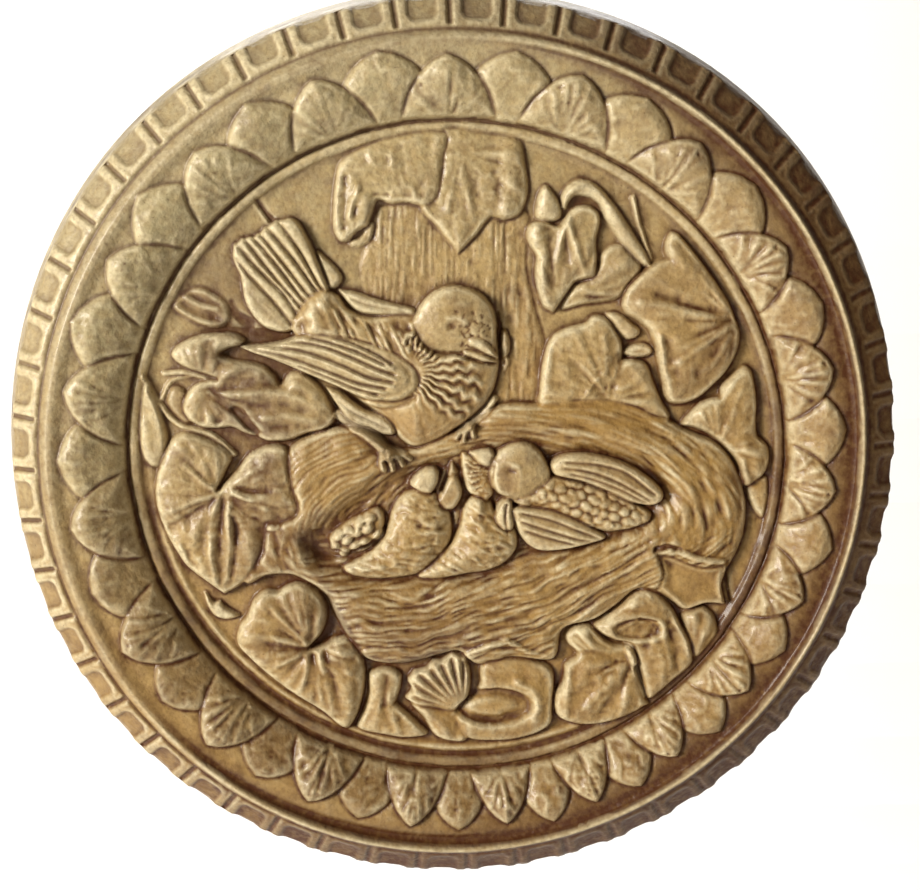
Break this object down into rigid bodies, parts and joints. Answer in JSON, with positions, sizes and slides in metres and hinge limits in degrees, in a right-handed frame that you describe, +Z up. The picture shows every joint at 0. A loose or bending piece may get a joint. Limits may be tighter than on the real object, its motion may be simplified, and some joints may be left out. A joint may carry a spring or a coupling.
{
  "type": "ceramic wall plate",
  "caption": "Round relief-moulded earthenware wall plate: an old bird feeds her young in a nest among leaves, inside a border of pointed leaves and a cupped rim.",
  "frame": {"origin": "on the wall plane, in the middle of the foot ring's width at the ring's top, on the plate's upright centre line", "axes": "+Z up, +Y into the wall, +X to the viewer's right; the picture faces -Y"},
  "size_m": [0.372, 0.0335, 0.372],
  "materials": {
    "glazed_earthenware": "press-moulded earthenware under a glossy honey-brown glaze, green-grey on the leaves, pooled dark brown in the hollows and thin and pale on the raised edges"
  },
  "bodies": {
    "root": {"wall_plate": "glazed_earthenware"}
  },
  "joints": []
}
